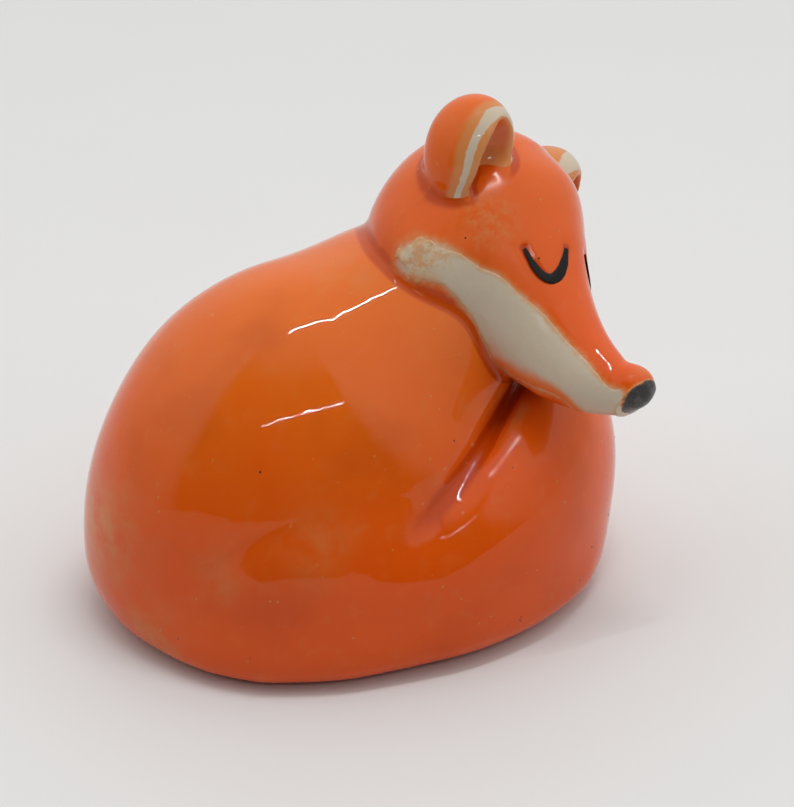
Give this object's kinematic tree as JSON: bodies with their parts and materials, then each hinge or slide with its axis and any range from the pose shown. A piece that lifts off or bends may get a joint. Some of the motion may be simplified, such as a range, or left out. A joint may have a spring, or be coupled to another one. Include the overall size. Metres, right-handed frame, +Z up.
{
  "type": "sleeping fox figurine",
  "caption": "Hand-built glazed ceramic fox curled asleep, with a tail wrapped round its body and its chin laid on the tail; a shelf ornament on a flat foot.",
  "frame": {"origin": "centre of the flat foot, on the shelf it stands on", "axes": "+X along the body towards the head end, +Y away from the side the tail wraps along, +Z up"},
  "size_m": [0.0827, 0.0619, 0.0744],
  "materials": {
    "orange_glaze": "glossy",
    "white_slip": "glossy",
    "black_slip": "satin",
    "bare_clay": "matte"
  },
  "bodies": {
    "root": {"body_shell": "orange_glaze", "base_slab": "bare_clay", "tail": "orange_glaze", "head": "orange_glaze", "right_ear": "orange_glaze", "left_ear": "orange_glaze", "nose": "black_slip", "right_eyelid_line": "black_slip", "left_eyelid_line": "black_slip", "right_cheek_slip": "white_slip", "left_cheek_slip": "white_slip"}
  },
  "joints": []
}
